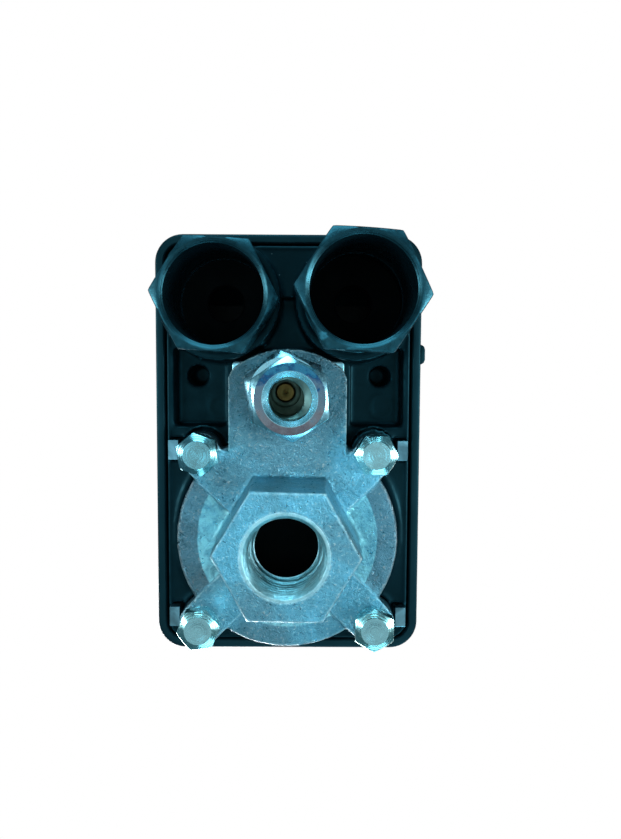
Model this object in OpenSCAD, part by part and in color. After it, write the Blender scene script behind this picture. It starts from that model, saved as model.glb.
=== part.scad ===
// Pressure switch for a small air compressor, as separate parts that fit together.
// Millimetres. Z points up from the port's mouth into the housing; X and Y span the housing.

/* [Housing] */
// Outside width of the cover, across X
housing_w = 57; // [50:0.5:70]
// Outside length of the cover, along Y
housing_l = 90; // [80:0.5:110]
// Y of the middle of the housing, measured from the port's axis
housing_y = 19.2; // [10:0.1:30]
// Height of the cover from its rim to its flat top
cover_h = 58.8; // [50:0.2:80]
// Thickness of the cover's walls
cover_wall = 1.9; // [1.5:0.1:3]
// Gap between the base and the inside of the cover
rim_gap = 0.4; // [0.2:0.1:1]
// Thickness of the base plate
base_t = 3.5; // [2.5:0.1:5]

/* [Port flange] */
// Across flats of the hexagonal port boss
boss_af = 25.2; // [22:0.1:30]
// Height of the port boss under the arm's face
boss_h = 15; // [12:0.5:20]
// Radius of the port's threaded wall
port_r = 7.48; // [5:0.01:9]
// Depth of the port's threaded wall
port_depth = 9.4; // [8:0.1:14]
// Radius of the round disc
disc_r = 23.3; // [20:0.1:28]
// Side of the square of flange bolts
bolt_sq = 36.5; // [30:0.5:45]
// Across flats of a flange bolt's head
bolt_af = 8; // [7:0.5:10]
// Width of each diagonal rib that runs to a bolt
rib_w = 9.6; // [7:0.1:12]
// Width of the arm that carries the unloader
arm_w = 24.6; // [20:0.1:30]

/* [Unloader] */
// Y of the unloader's axis
unl_y = 30; // [26:0.5:36]
// Across flats of the outlet fitting
outlet_af = 15; // [13:0.5:17]
// Across flats of the lock nut behind it
lock_af = 16; // [14:0.5:18]
// Radius of the outlet's threaded wall
outlet_r = 4.29; // [3:0.01:5]
// Height of the outlet's face above the port's mouth
outlet_z = 6; // [2:0.5:10]
// Radius of the valve pin
pin_r = 1.95; // [1.5:0.05:2.5]

/* [Cable glands] */
// Distance between the two gland axes
gland_gap = 28.4; // [26:0.1:34]
// Y of the gland axes
gland_y = 50.1; // [45:0.1:56]
// Across flats of a gland nut
gland_af = 22; // [20:0.5:26]
// Radius of a gland nut's hole
gland_hole_r = 9.75; // [8:0.05:10]
// Height of the left nut's face, as screwed in
gland_left_z = 5.7; // [-5:0.1:8]
// Height of the right nut's face, screwed out further
gland_right_z = -4; // [-5:0.1:8]

/* [Mechanism] */
// Y of the lever's pivot
pivot_y = 15; // [12:0.5:18]
// Outside radius of the main spring
spring_r = 7.8; // [6:0.1:9]
// Radius of the adjusting screw
adjust_r = 3; // [2.5:0.1:4]
// Radius of the on/off knob
knob_r = 9; // [7:0.5:12]

/* [Part to draw] */

/* [Hidden] */
$fn = 64;

// Levels along Z
arm_z = boss_h;
disc_z = arm_z + 0.5;
plate_z = arm_z + 4.5;
base_z = arm_z + 6.5;
rim_z = base_z - 0.3;
base_top = base_z + base_t;
web_top = base_top + 2;
lever_z = web_top + 5.5;
lever_top = lever_z + 2;
pivot_z = lever_z + 4.5;
cup_floor = lever_top + 1.5;
spring_top = cup_floor + 20;
bridge_z = spring_top + 4;
block_z = lever_top + 9.5;
strip_z = block_z + 3.63;
cover_top = rim_z + cover_h;
collar_z = arm_z;
collar_top = base_top + 9;

// Plan sizes
b = bolt_sq / 2;
gx = gland_gap / 2;
collar_r = gland_af / 2 + 1.7;
bore_r = gland_af / 2 + 0.05;
base_w = housing_w - 2 * cover_wall - 2 * rim_gap;
base_l = housing_l - 2 * cover_wall - 2 * rim_gap;
cheek_out = base_w / 2 - 0.5;
cheek_t = 2.2;
cheek_x = cheek_out - cheek_t;
knob_y = 42;
screw_y = 14;
carrier_y = unl_y + 4;
pole_x = 9.5;
pin_dx = 0.45;
pin_dy = 0.85;
hex_dx = -0.7;
hex_dy = -0.15;
lock_dx = 0.2;
lock_dy = 0.55;
pocket_in = 13.4;
pocket_out = base_w / 2 - 1.6;
e = 0.5;

module rrect(w, l, r, h) {
    linear_extrude(h) {
        square([w - 2 * r, l], center = true);
        square([w, l - 2 * r], center = true);
        for (sx = [-1, 1], sy = [-1, 1]) translate([sx * (w / 2 - r), sy * (l / 2 - r)]) circle(r);
    }
}

module hexa(af, h) { cylinder(r = af / sqrt(3), h = h, $fn = 6); }

// A hexagon whose face at its foot is chamfered to a circle
module faced_hex(af, h, face_r) {
    intersection() {
        hexa(af, h);
        cylinder(r1 = face_r, r2 = face_r + 2 * h, h = h);
    }
}

// A close-wound spring: rings that overlap a little along its length
module coil(r_out, wire, len) {
    n = ceil((len - wire) / (wire * 0.92)) + 1;
    step = (len - wire) / (n - 1);
    rotate_extrude() for (i = [0 : n - 1])
        translate([r_out - wire / 2, wire / 2 + i * step]) circle(wire / 2, $fn = 24);
}

module at_bolts() {
    for (sx = [-1, 1], sy = [-1, 1]) translate([sx * b, sy * b, 0]) children();
}

// Disc in section: flat rim and a sloped dish inside it
module disc_solid() {
    rotate_extrude() polygon([[0, disc_z + 1.9], [11.5, disc_z + 1.9], [18.9, disc_z],
        [disc_r, disc_z], [disc_r, base_z], [0, base_z]]);
}

module port_flange() color([0.72, 0.75, 0.76]) difference() {
    union() {
        rotate(1) hexa(boss_af, disc_z + 2.5);
        disc_solid();
        for (a = [45, 135, 225, 315]) rotate(a) translate([8, -rib_w / 2, arm_z])
            cube([b * sqrt(2) - 8, rib_w, 3]);
        at_bolts() translate([0, 0, arm_z - 0.3]) cylinder(r = 4.95, h = base_z - arm_z + 0.3);
        translate([0, 0, arm_z]) linear_extrude(plate_z - arm_z) intersection() {
            translate([-arm_w / 2, 6]) square([arm_w, 40]);
            translate([0, 22.2]) circle(17.7);
        }
    }
    translate([0, 0, -1]) cylinder(r = port_r, h = port_depth + 1);
    translate([0, 0, port_depth - 1]) cylinder(r = 6.45, h = base_z);
    translate([0, 0, base_z - 3]) cylinder(r = 13, h = 4);
    translate([0, 0, base_z - 1]) cylinder(r = disc_r - 0.8, h = 2);
    at_bolts() translate([0, 0, arm_z - 1]) cylinder(r = 2.75, h = 12);
    translate([0, unl_y, arm_z - 1]) cylinder(r = 5.1, h = 12);
}

module flange_bolt(turn) {
    rotate(turn) translate([0, 0, arm_z - 4.5]) faced_hex(bolt_af, 3.6, bolt_af * 0.37);
    translate([0, 0, arm_z - 0.95]) cylinder(r = bolt_af * 0.55, h = 0.65);
    translate([0, 0, arm_z - 0.5]) cylinder(r = 2.48, h = 15);
}

module flange_bolts() color([0.78, 0.8, 0.8]) {
    translate([b, b, 0]) flange_bolt(20);
    translate([-b, b, 0]) flange_bolt(2);
    translate([b, -b, 0]) flange_bolt(-8);
    translate([-b, -b, 0]) flange_bolt(30);
}

module valve_plate() color([0.8, 0.82, 0.82]) difference() {
    translate([-arm_w / 2 + 0.4, 24, plate_z]) cube([arm_w - 0.8, 13.3, base_z - plate_z]);
    translate([0, unl_y, plate_z - 1]) cylinder(r = 5.1, h = 5);
}

module unloader_fitting() color([0.75, 0.79, 0.82]) translate([0, unl_y, 0]) difference() {
    union() {
        translate([hex_dx, hex_dy, outlet_z]) rotate(26) faced_hex(outlet_af, 4.9, outlet_af * 0.48);
        translate([0, 0, outlet_z + 4]) cylinder(r = 5, h = web_top + 1.5 - outlet_z - 4);
    }
    translate([hex_dx, hex_dy, outlet_z - 1]) cylinder(r = outlet_r, h = 5.6);
    translate([hex_dx, hex_dy, outlet_z - 0.01])
        cylinder(r1 = outlet_r + 0.95, r2 = outlet_r, h = 0.96);
    translate([0.1, -0.3, outlet_z + 4.5]) cylinder(r = 3.6, h = arm_z - outlet_z - 3);
    translate([pin_dx, pin_dy, arm_z + 1.49]) cylinder(r = 3.22, h = base_top - arm_z - 1.4);
    translate([pin_dx, pin_dy, base_top - 1]) cylinder(r = pin_r + 0.05, h = 6);
}

module unloader_lock_nut() color([0.7, 0.76, 0.8]) translate([0, unl_y, arm_z - 4]) difference() {
    translate([lock_dx, lock_dy, 0]) rotate(20) faced_hex(lock_af, 4, lock_af * 0.5);
    translate([0, 0, -1]) cylinder(r = 5.02, h = 6);
}

module unloader_seat() color([0.6, 0.64, 0.62])
    translate([pin_dx, unl_y + pin_dy, arm_z + 1.5]) difference() {
        cylinder(r = 3.2, h = 1.5);
        translate([0, 0, -1]) cylinder(r = pin_r + 0.07, h = 4);
    }

module unloader_pin() color([0.7, 0.52, 0.25]) translate([pin_dx, unl_y + pin_dy, 0]) difference() {
    union() {
        translate([0, 0, arm_z + 0.8]) cylinder(r = pin_r, h = lever_z - arm_z - 2.32);
        translate([0, 0, lever_z - 1.52 - 0.01]) cylinder(r1 = pin_r, r2 = 1.2, h = 0.51);
        translate([0, 0, lever_z - 1.52]) sphere(1.5);
        translate([0, 0, arm_z + 6.2]) cylinder(r = 2.8, h = 1);
    }
    translate([0, 0, arm_z + 0.3]) cylinder(r = 0.3, h = 1.5);
}

module unloader_spring() color([0.7, 0.72, 0.74])
    translate([pin_dx, unl_y + pin_dy, arm_z + 3]) coil(2.85, 0.6, 3.2);

module diaphragm() color([0.12, 0.12, 0.12]) translate([0, 0, base_z - 1])
    cylinder(r = disc_r - 0.85, h = 1);

module piston() color([0.85, 0.85, 0.8]) {
    translate([0, 0, base_z]) cylinder(r = 8.9, h = 3);
    translate([0, 0, base_z + 2.5]) cylinder(r = 4, h = lever_z - base_z - 5.03);
    translate([0, 0, lever_z - 2.54]) cylinder(r1 = 4, r2 = 1.6, h = 1.6);
    translate([0, 0, lever_z - 1.53]) sphere(1.5);
}

module pocket(sx, grow, z0, h) {
    x0 = pocket_in - grow;
    x1 = min(pocket_out + grow, base_w / 2 - 0.2);
    translate([sx > 0 ? x0 : -x1, 23.2 - grow, z0]) cube([x1 - x0, 17 + 2 * grow, h]);
}

module base() color([0.07, 0.08, 0.08]) difference() {
    union() {
        difference() {
            union() {
                translate([0, housing_y, base_z]) rrect(base_w, base_l, 4, base_t);
                for (s = [-1, 1]) pocket(s, 1.3, base_top - 1, 4.3);
            }
            for (s = [-1, 1]) pocket(s, 0, base_z - 1, 6);
            for (s = [-1, 1]) translate([s * 20.2, 34.1, base_z - 1]) cylinder(r = 2.3, h = 12);
        }
        for (s = [-1, 1]) translate([s * gx, gland_y, collar_z])
            cylinder(r = collar_r, h = rim_z - 0.1 - collar_z);
        intersection() {
            translate([0, housing_y, rim_z - 0.5]) rrect(base_w, base_l, 4, 20);
            for (s = [-1, 1]) translate([s * gx, gland_y, collar_z + 1])
                cylinder(r = collar_r, h = collar_top - collar_z - 1);
        }
    }
    for (s = [-1, 1]) translate([s * gx, gland_y, 0]) {
        translate([0, 0, collar_z - 1]) cylinder(r = bore_r, h = collar_top - collar_z - 1.8);
        translate([0, 0, collar_z]) cylinder(r = 8, h = collar_top);
    }
    translate([0, 0, base_z - 1]) cylinder(r = 9, h = 6);
    translate([0, unl_y, base_z - 1]) cylinder(r = 5.15, h = 6);
    at_bolts() translate([0, 0, base_z - 1]) cylinder(r = 2.75, h = 6);
    for (sx = [-1, 1], sy = [-1, 1])
        translate([sx * (cheek_x + cheek_t / 2), sy * b, base_z]) cube([cheek_t + 0.2, 4.5, 12], true);
    for (s = [-1, 1]) translate([s * 8.4, 34, base_z - 1]) cylinder(r = 1.6, h = 6);
}

module gland_nut(z0) {
    difference() {
        union() {
            translate([0, 0, z0]) faced_hex(gland_af, 9, gland_af * 0.53);
            translate([0, 0, z0 + 8.5]) cylinder(r = gland_af / 2, h = 14);
        }
        translate([0, 0, z0 - 1]) cylinder(r = gland_hole_r, h = 26);
        translate([0, 0, z0 - 0.01]) cylinder(r1 = gland_hole_r + 0.7, r2 = gland_hole_r, h = 0.81);
    }
}

module gland_nut_left() color([0.06, 0.07, 0.08])
    translate([gx, gland_y, 0]) rotate(3.2) gland_nut(gland_left_z);

module gland_nut_right() color([0.06, 0.07, 0.08])
    translate([-gx, gland_y, 0]) rotate(3.6) gland_nut(gland_right_z);

module gland_seal() translate([0, gland_y, collar_top - 5.6]) difference() {
    cylinder(r = gland_af / 2, h = 2.8);
    translate([0, 0, -1]) cylinder(r = 4, h = 5);
}

module gland_seal_left() color([0.1, 0.1, 0.1]) translate([gx, 0, 0]) gland_seal();

module gland_seal_right() color([0.1, 0.1, 0.1]) translate([-gx, 0, 0]) gland_seal();

// Steel frame: web on the base, two cheeks with feet through the base, and a bridge on top
module frame() color([0.7, 0.73, 0.75]) difference() {
    union() {
        translate([-cheek_out, -22, base_top]) cube([2 * cheek_out, 42.5, 2]);
        translate([-11.9, 20, base_top]) cube([23.8, 17.1, 2]);
        for (s = [-1, 1]) {
            x = s > 0 ? cheek_x : -cheek_out;
            translate([x, -20.5, base_top]) cube([cheek_t, 41, bridge_z + 2.2 - base_top]);
            translate([x, 20, block_z - 5]) cube([cheek_t, 26, 17]);
            for (t = [-1, 1]) translate([x, t * b - 2.15, plate_z]) cube([cheek_t, 4.3, 6]);
            translate([s > 0 ? cheek_x - 5.4 : -cheek_x - 0.5, 28.5, block_z - 2.2])
                cube([5.9, 6, 2.2]);
        }
        translate([-cheek_out, -9, bridge_z]) cube([2 * cheek_out, 29.5, 2.2]);
    }
    translate([0, 0, base_top - 1]) cylinder(r = 9.2, h = 4);
    translate([0, unl_y, base_top - 1]) cylinder(r = 5.15, h = 4);
    at_bolts() translate([0, 0, base_top - 1]) cylinder(r = 2.5, h = 4);
    translate([-40, pivot_y, pivot_z]) rotate([0, 90, 0]) cylinder(r = 2.02, h = 80);
    translate([0, 0, bridge_z - 1]) cylinder(r = adjust_r + 0.05, h = 5);
    translate([0, screw_y, bridge_z - 1]) cylinder(r = 2, h = 5);
    for (s = [-1, 1]) {
        translate([s * 20.5, 31.5, block_z - 4]) cylinder(r = 1.5, h = 5);
        translate([s * 8.4, 34, base_top - 1]) cylinder(r = 1.5, h = 4);
    }
}

module pivot_pin() color([0.75, 0.77, 0.78])
    translate([-cheek_out, pivot_y, pivot_z]) rotate([0, 90, 0]) cylinder(r = 2, h = 2 * cheek_out);

module lever() color([0.72, 0.72, 0.68]) difference() {
    union() {
        translate([-9, -9, lever_z]) cube([18, 45.3, 2]);
        for (x = [-9, 7]) translate([x, 0, 0]) {
            translate([0, pivot_y - 4.5, lever_z + 1]) cube([2, 9, 3.5]);
            translate([0, pivot_y, pivot_z]) rotate([0, 90, 0]) cylinder(r = 4.5, h = 2);
        }
    }
    translate([-20, pivot_y, pivot_z]) rotate([0, 90, 0]) cylinder(r = 2.05, h = 40);
}

module spring_cup() color([0.75, 0.75, 0.72]) translate([0, 0, lever_top]) difference() {
    cylinder(r = 8.8, h = 3);
    translate([0, 0, 1.5]) cylinder(r = 8.1, h = 3);
}

module main_spring() color([0.65, 0.67, 0.7]) translate([0, 0, cup_floor]) coil(spring_r, 2.4, 20);

module spring_plate() color([0.72, 0.74, 0.74]) translate([0, 0, spring_top]) difference() {
    translate([-10, -9, 0]) cube([20, 18, 2.4]);
    translate([0, 0, -1]) cylinder(r = adjust_r + 0.05, h = 5);
}

module adjusting_screw() color([0.76, 0.78, 0.78]) {
    translate([0, 0, spring_top - 8]) cylinder(r = adjust_r, h = bridge_z + 6.5 - spring_top + 8);
    translate([0, 0, bridge_z + 6]) hexa(10, 4);
}

module contact_block() color([0.16, 0.14, 0.12]) difference() {
    translate([-cheek_x, 21.5, block_z]) cube([2 * cheek_x, 29.5, 12]);
    translate([-3.1, carrier_y - 1.75, block_z - 1]) cube([6.2, 3.5, 14]);
    for (s = [-1, 1]) {
        x0 = s * pole_x;
        translate([x0 - 3, carrier_y - 7, block_z - 1]) cube([6, 14, 5.63]);
        translate([x0 - 3.2, 21, strip_z + 1]) cube([6.4, 6.5, 12]);
        translate([x0 - 3.2, carrier_y + 10, strip_z + 1]) cube([6.4, 8, 12]);
        translate([x0 - 2.5, 21, strip_z]) cube([5, 10.5, 1]);
        translate([x0 - 2.5, carrier_y + 2.5, strip_z]) cube([5, 15, 1]);
        for (y = [24, carrier_y + 13.5]) translate([x0, y, block_z + 1.5]) cylinder(r = 1.55, h = 4);
        translate([s * 20.5, 31.5, block_z - 1]) cylinder(r = 1.5, h = 8);
        translate([s * 20.5, 31.5, block_z + 6]) cylinder(r = 3, h = 8);
    }
}

module contact_carrier() color([0.8, 0.78, 0.7]) {
    translate([-2.5, carrier_y, lever_top + 1.43]) rotate([0, 90, 0]) cylinder(r = 1.4, h = 5);
    translate([-2.5, carrier_y - 1.4, lever_top + 1.43]) cube([5, 2.8, 3]);
    translate([-13, carrier_y - 2, lever_top + 3.5]) cube([26, 4, 3]);
    translate([-3, carrier_y - 1.65, lever_top + 6]) cube([6, 3.3, block_z + 13.5 - lever_top - 6]);
}

module bridge_contacts() color([0.78, 0.62, 0.32]) for (s = [-1, 1])
    translate([s * pole_x, carrier_y, strip_z - 1.63]) {
        translate([-2, -6, 0]) cube([4, 12, 1]);
        for (t = [-1, 1]) translate([0, t * 4.2, 0.5]) cylinder(r = 1.5, h = 1.1);
    }

module contact_springs() color([0.7, 0.72, 0.74]) for (s = [-1, 1])
    translate([s * pole_x, carrier_y, lever_top + 6.5]) coil(1.9, 0.6, strip_z - 1.63 - lever_top - 6.5);

module strip(y0, len, y_hole) translate([-2.5, y0, strip_z]) difference() {
    cube([5, len, 1]);
    translate([2.5, y_hole - y0, -1]) cylinder(r = 1.55, h = 4);
}

module terminal_strips() color([0.78, 0.62, 0.32]) for (s = [-1, 1]) translate([s * pole_x, 0, 0]) {
    strip(21.6, 9.9, 24);
    strip(carrier_y + 2.5, 14.4, carrier_y + 13.5);
}

module terminal_screws() color([0.76, 0.78, 0.78])
    for (s = [-1, 1], y = [24, carrier_y + 13.5]) translate([s * pole_x, y, strip_z]) {
        translate([0, 0, -2]) cylinder(r = 1.5, h = 4);
        translate([-2.4, -2.4, 1]) cube([4.8, 4.8, 1]);
        translate([0, 0, 1.5]) cylinder(r = 2.4, h = 2.4);
    }

module block_screws() color([0.76, 0.78, 0.78]) for (s = [-1, 1])
    translate([s * 20.5, 31.5, block_z - 2.2]) {
        cylinder(r = 1.45, h = 9);
        translate([0, 0, 8.2]) cylinder(r = 2.6, h = 2);
    }

module earth_screws() color([0.8, 0.72, 0.4]) for (s = [-1, 1])
    translate([s * 8.4, 34, base_top - 2]) {
        cylinder(r = 1.45, h = 5);
        translate([0, 0, 4]) cylinder(r = 2.6, h = 1.8);
    }

module cover() color([0.05, 0.06, 0.06]) difference() {
    union() {
        difference() {
            union() {
                translate([0, housing_y, rim_z]) rrect(housing_w, housing_l, 6, cover_h);
                translate([0, housing_y, cover_top - 1]) rrect(housing_w - 3, housing_l - 3, 4.5, 2);
                translate([-housing_w / 2 - 0.9, 36.7, rim_z]) cube([3, 4.4, 9]);
            }
            translate([0, housing_y, rim_z - 1])
                rrect(housing_w - 2 * cover_wall, housing_l - 2 * cover_wall, 4.4, cover_h - 1);
        }
        translate([0, screw_y, bridge_z + 4]) cylinder(r = 5.5, h = cover_top - bridge_z - 4);
    }
    translate([0, screw_y, bridge_z + 6]) cylinder(r = 4, h = 30);
    translate([0, screw_y, bridge_z]) cylinder(r = 2.2, h = 30);
    translate([0, knob_y, cover_top - 10]) cylinder(r = 4.1, h = 20);
}

module cover_screw() color([0.76, 0.78, 0.78]) translate([0, screw_y, 0]) {
    translate([0, 0, bridge_z - 3]) cylinder(r = 1.95, h = 9.5);
    translate([0, 0, bridge_z + 6]) difference() {
        cylinder(r = 3.4, h = 2.6);
        translate([-4, -0.5, 1.6]) cube([8, 1, 2]);
    }
}

module knob() color([0.7, 0.06, 0.05]) translate([0, knob_y, cover_top + 1.3]) {
    cylinder(r = knob_r, h = 3);
    translate([0, 0, 2.5]) cylinder(r = knob_r - 1.5, h = 3);
    translate([-knob_r + 1, -1.75, 2.5]) cube([2 * knob_r - 2, 3.5, 8]);
}

module knob_shaft() color([0.75, 0.74, 0.7]) translate([0, knob_y, 0]) {
    translate([0, 0, block_z + 15.5]) cylinder(r = 4, h = cover_top + 1.3 - block_z - 15.5);
    translate([-2.5, 0, block_z + 14.2]) cube([14, 5, 1.6]);
    translate([0, 0, block_z + 14.2]) cylinder(r = 5, h = 1.6);
}

port_flange();
flange_bolts();
valve_plate();
unloader_fitting();
unloader_lock_nut();
unloader_seat();
unloader_pin();
unloader_spring();
diaphragm();
piston();
base();
gland_nut_left();
gland_nut_right();
gland_seal_left();
gland_seal_right();
frame();
pivot_pin();
lever();
spring_cup();
main_spring();
spring_plate();
adjusting_screw();
contact_block();
contact_carrier();
bridge_contacts();
contact_springs();
terminal_strips();
terminal_screws();
block_screws();
earth_screws();
cover();
cover_screw();
knob();
knob_shaft();
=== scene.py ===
import math
import bpy
import bmesh
import numpy as np
from mathutils import Matrix, Vector


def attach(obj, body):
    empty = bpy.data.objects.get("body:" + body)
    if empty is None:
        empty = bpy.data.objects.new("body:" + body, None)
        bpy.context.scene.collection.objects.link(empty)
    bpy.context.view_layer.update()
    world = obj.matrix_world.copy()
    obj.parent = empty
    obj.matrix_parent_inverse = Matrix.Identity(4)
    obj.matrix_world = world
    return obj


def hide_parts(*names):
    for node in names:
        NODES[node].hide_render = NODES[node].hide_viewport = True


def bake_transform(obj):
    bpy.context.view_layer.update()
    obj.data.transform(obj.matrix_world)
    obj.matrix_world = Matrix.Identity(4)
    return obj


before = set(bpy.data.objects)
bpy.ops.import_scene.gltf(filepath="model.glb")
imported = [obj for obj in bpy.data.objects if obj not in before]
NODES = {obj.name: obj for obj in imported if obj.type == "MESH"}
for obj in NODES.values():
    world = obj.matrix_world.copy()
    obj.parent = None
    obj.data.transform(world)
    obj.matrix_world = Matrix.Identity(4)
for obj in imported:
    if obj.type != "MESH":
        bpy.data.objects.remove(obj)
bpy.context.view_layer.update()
MM = 0.001
B = 18.25
PI2 = 2 * math.pi


# ---------------------------------------------------------------- geometry in millimetres
def prism(pts, z0, z1):
    """A closed prism on a plan outline."""
    n = len(pts)
    V = [(x, y, z0) for x, y in pts] + [(x, y, z1) for x, y in pts]
    F = [tuple(range(n - 1, -1, -1)), tuple(range(n, 2 * n))]
    F += [(i, (i + 1) % n, n + (i + 1) % n, n + i) for i in range(n)]
    return V, F


def loft(rings, cap=True, closed=False):
    """A skin through rings of points that all have the same count."""
    n, m = len(rings[0]), len(rings)
    V = [p for r in rings for p in r]
    F = []
    for j in range(m if closed else m - 1):
        k = (j + 1) % m
        F += [(j * n + i, j * n + (i + 1) % n, k * n + (i + 1) % n, k * n + i) for i in range(n)]
    if cap and not closed:
        F.append(tuple(range(n - 1, -1, -1)))
        F.append(tuple(range((m - 1) * n, m * n)))
    return V, F


def circle(r, n=96, cx=0.0, cy=0.0, a0=0.0):
    return [(cx + r * math.cos(a0 + PI2 * i / n), cy + r * math.sin(a0 + PI2 * i / n)) for i in range(n)]


def cyl(r, z0, z1, cx=0.0, cy=0.0, n=96):
    return prism(circle(r, n, cx, cy), z0, z1)


def block(x0, x1, y0, y1, z0, z1):
    return prism([(x0, y0), (x1, y0), (x1, y1), (x0, y1)], z0, z1)


def rrect(w, l, r, cx=0.0, cy=0.0, k=10):
    out = []
    for sx, sy, a in ((1, 1, 0), (-1, 1, 90), (-1, -1, 180), (1, -1, 270)):
        for i in range(k + 1):
            t = math.radians(a + 90 * i / k)
            out.append((cx + sx * (w / 2 - r) + r * math.cos(t), cy + sy * (l / 2 - r) + r * math.sin(t)))
    return out


def turn(geo, deg, cx=0.0, cy=0.0):
    c, s = math.cos(math.radians(deg)), math.sin(math.radians(deg))
    V = [(cx + (x - cx) * c - (y - cy) * s, cy + (x - cx) * s + (y - cy) * c, z) for x, y, z in geo[0]]
    return V, geo[1]


def shift(geo, dx=0.0, dy=0.0, dz=0.0):
    return [(x + dx, y + dy, z + dz) for x, y, z in geo[0]], geo[1]


def together(*geos):
    V, F = [], []
    for v, f in geos:
        o = len(V)
        V += list(v)
        F += [tuple(i + o for i in q) for q in f]
    return V, F


def hexr(th, af, rc=0.3):
    """Radius of a hexagon with its corners at 0, 60, ... degrees and rounded to rc."""
    a = af / 2
    phi = np.mod(th, math.pi / 3) - math.pi / 6
    r = a / np.cos(phi)
    d = (a - rc) / math.cos(math.pi / 6)
    psi = math.pi / 6 - np.abs(phi)
    arc = a * np.tan(np.abs(phi)) > (a - rc) * math.tan(math.pi / 6)
    rr = d * np.cos(psi) + np.sqrt(np.maximum(rc * rc - (d * np.sin(psi)) ** 2, 0))
    return np.where(arc, rr, r)


def tri(x):
    """A rounded triangle wave from 0 to 1."""
    f = np.abs(np.mod(x, 1.0) * 2 - 1)
    return np.clip((f - 0.12) / 0.76, 0, 1)


def polar(rows, n=144, cx=0.0, cy=0.0, rot=0.0, ring=True):
    """Rows of (radius, z) round an axis, each a number or an array over the angle.
    With ring the last row joins the first; otherwise both ends close on the axis."""
    th = np.arange(n) * PI2 / n
    a = th + math.radians(rot)
    V, F = [], []
    for k, row in enumerate(rows):
        r, z = np.broadcast_to(row[0], n), np.broadcast_to(row[1], n)
        dx, dy = (row[2], row[3]) if len(row) > 2 else (0.0, 0.0)
        V += [(cx + dx + r[i] * math.cos(a[i]), cy + dy + r[i] * math.sin(a[i]), float(z[i]))
              for i in range(n)]
    m = len(rows)
    for j in range(m if ring else m - 1):
        k = (j + 1) % m
        F += [(j * n + i, j * n + (i + 1) % n, k * n + (i + 1) % n, k * n + i) for i in range(n)]
    if not ring:
        for j, z in ((0, float(np.mean(rows[0][1]))), (m - 1, float(np.mean(rows[-1][1])))):
            V.append((cx, cy, z))
            c = len(V) - 1
            F += [(j * n + i, j * n + (i + 1) % n, c) for i in range(n)]
    return V, F


TH = np.arange(144) * PI2 / 144


def thread_rows(r0, depth, pitch, z0, z1, per=10, n=144):
    """Rows of a helical thread: radius from r0 to r0 + depth (depth may be negative)."""
    th = np.arange(n) * PI2 / n
    rows, k = [], max(4, int((z1 - z0) / pitch * per))
    for i in range(k + 1):
        z = z0 + (z1 - z0) * i / k
        fade = min(1.0, (z - z0) / (pitch * 0.6), (z1 - z) / (pitch * 0.6))
        r = r0 + depth * tri(z / pitch - th / PI2) * max(fade, 0.0)
        rows.append((r, z))
    return rows


def sweep(points, r, sides=10):
    """A round wire of radius r along the points, capped at both ends."""
    P = [Vector(p) for p in points]
    V, F, up = [], [], Vector((0, 0, 1))
    for i, p in enumerate(P):
        t = (P[min(i + 1, len(P) - 1)] - P[max(i - 1, 0)]).normalized()
        u = (up - t * up.dot(t)).normalized()
        w = t.cross(u)
        for k in range(sides):
            a = PI2 * k / sides
            q = p + u * (r * math.cos(a)) + w * (r * math.sin(a))
            V.append(tuple(q))
    for i in range(len(P) - 1):
        for k in range(sides):
            F.append((i * sides + k, i * sides + (k + 1) % sides, (i + 1) * sides + (k + 1) % sides,
                      (i + 1) * sides + k))
    F.append(tuple(range(sides)))
    F.append(tuple(range((len(P) - 1) * sides, len(P) * sides)))
    return V, F


def helix(cx, cy, z0, z1, r_mid, wire, turns, dead=0.9, part=(0.0, 1.0)):
    """A compression spring with closed ends, inside z0 to z1. With part, only that share of its turns."""
    pts, n = [], int(turns * 28)
    a0, b0 = z0 + wire / 2, z1 - wire / 2
    for i in range(int(n * part[0]), int(n * part[1]) + 1):
        t = turns * i / n
        live = min(max(t - dead, 0.0), turns - 2 * dead) / (turns - 2 * dead)
        z = a0 + (b0 - a0) * live
        pts.append((cx + r_mid * math.cos(PI2 * t), cy + r_mid * math.sin(PI2 * t), z))
    return sweep(pts, wire / 2)


# ---------------------------------------------------------------- objects
def raw(name, geo):
    """A new object from points in millimetres and faces."""
    me = bpy.data.meshes.new(name)
    me.from_pydata([(x * MM, y * MM, z * MM) for x, y, z in geo[0]], [], geo[1])
    bm = bmesh.new()
    bm.from_mesh(me)
    bmesh.ops.remove_doubles(bm, verts=bm.verts, dist=1e-7)
    bmesh.ops.recalc_face_normals(bm, faces=bm.faces)
    bm.to_mesh(me)
    bm.free()
    ob = bpy.data.objects.new(name, me)
    bpy.context.scene.collection.objects.link(ob)
    return ob


def settle(ob):
    """Applies the modifiers, so that the mesh is final."""
    bpy.context.view_layer.update()
    dg = bpy.context.evaluated_depsgraph_get()
    me = bpy.data.meshes.new_from_object(ob.evaluated_get(dg))
    ob.modifiers.clear()
    ob.data = me
    return ob


def cut(ob, *geos, op="DIFFERENCE", self_=False):
    """Cuts the shapes out of the object, or joins them to it with op UNION."""
    for g in geos:
        c = raw("cutter", g)
        m = ob.modifiers.new("cut", "BOOLEAN")
        m.operation, m.object, m.solver = op, c, "EXACT"
        m.use_self = self_
        settle(ob)
        bpy.data.objects.remove(c)
    return ob


def soften(ob, voxel, passes=4, factor=0.5):
    """Welds overlapping shells and rounds their edges as moulding or casting does."""
    m = ob.modifiers.new("weld", "REMESH")
    m.mode, m.voxel_size, m.adaptivity = "VOXEL", voxel * MM, 0.0
    if passes:
        s = ob.modifiers.new("smooth", "SMOOTH")
        s.factor, s.iterations = factor, passes
    return settle(ob)


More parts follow.
